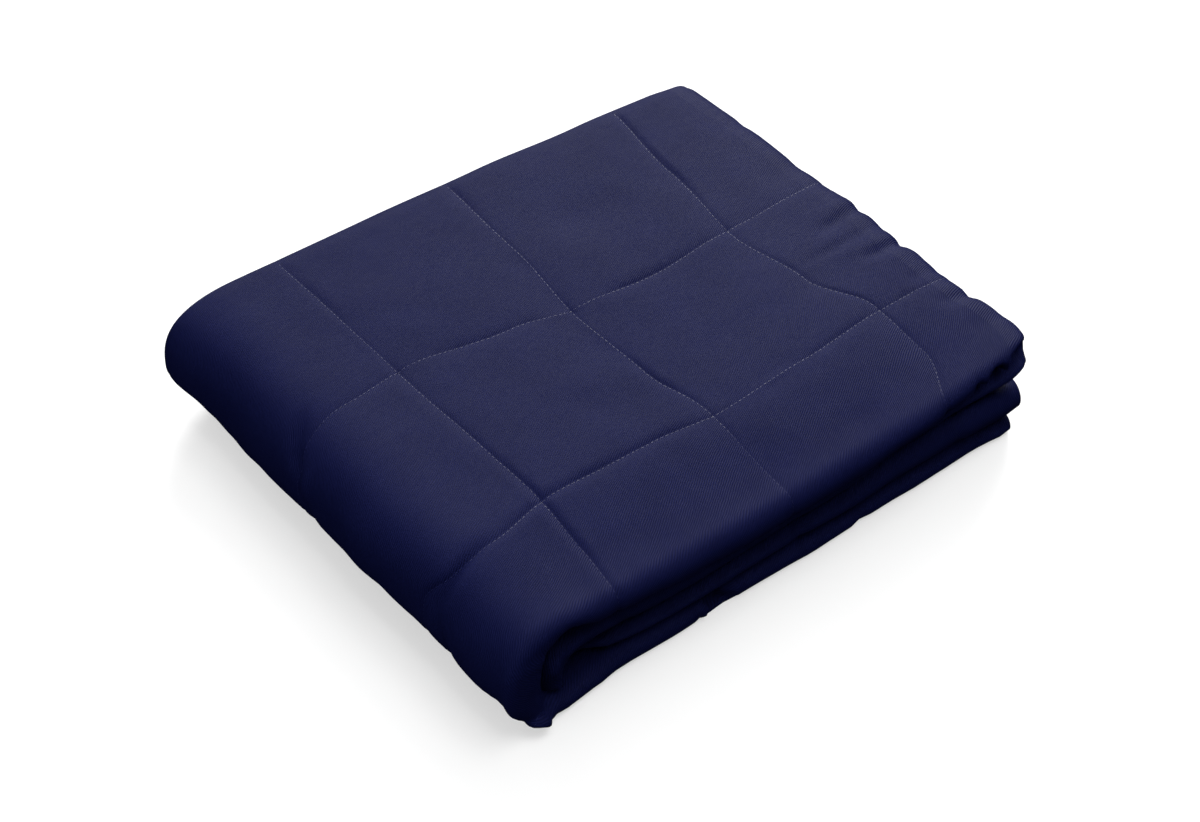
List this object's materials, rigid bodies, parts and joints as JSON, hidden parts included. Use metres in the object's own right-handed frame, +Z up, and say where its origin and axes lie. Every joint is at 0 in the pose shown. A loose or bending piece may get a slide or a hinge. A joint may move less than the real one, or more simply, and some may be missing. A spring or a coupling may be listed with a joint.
{
  "type": "weighted blanket",
  "caption": "Quilted cotton weighted blanket in square cells, folded in thirds and then twice in half to a flat pad with rolled front edges.",
  "frame": {"origin": "centre of the bounding box, on the surface the folded pad lies on", "axes": "+X along the pad, away from the rounded wrap of the last fold, +Y across it, away from the rolled front edges, +Z up"},
  "size_m": [0.4056, 0.3396, 0.0818],
  "materials": {
    "blanket": "matt cotton twill, navy"
  },
  "bodies": {
    "root": {"blanket": "blanket"}
  },
  "joints": []
}
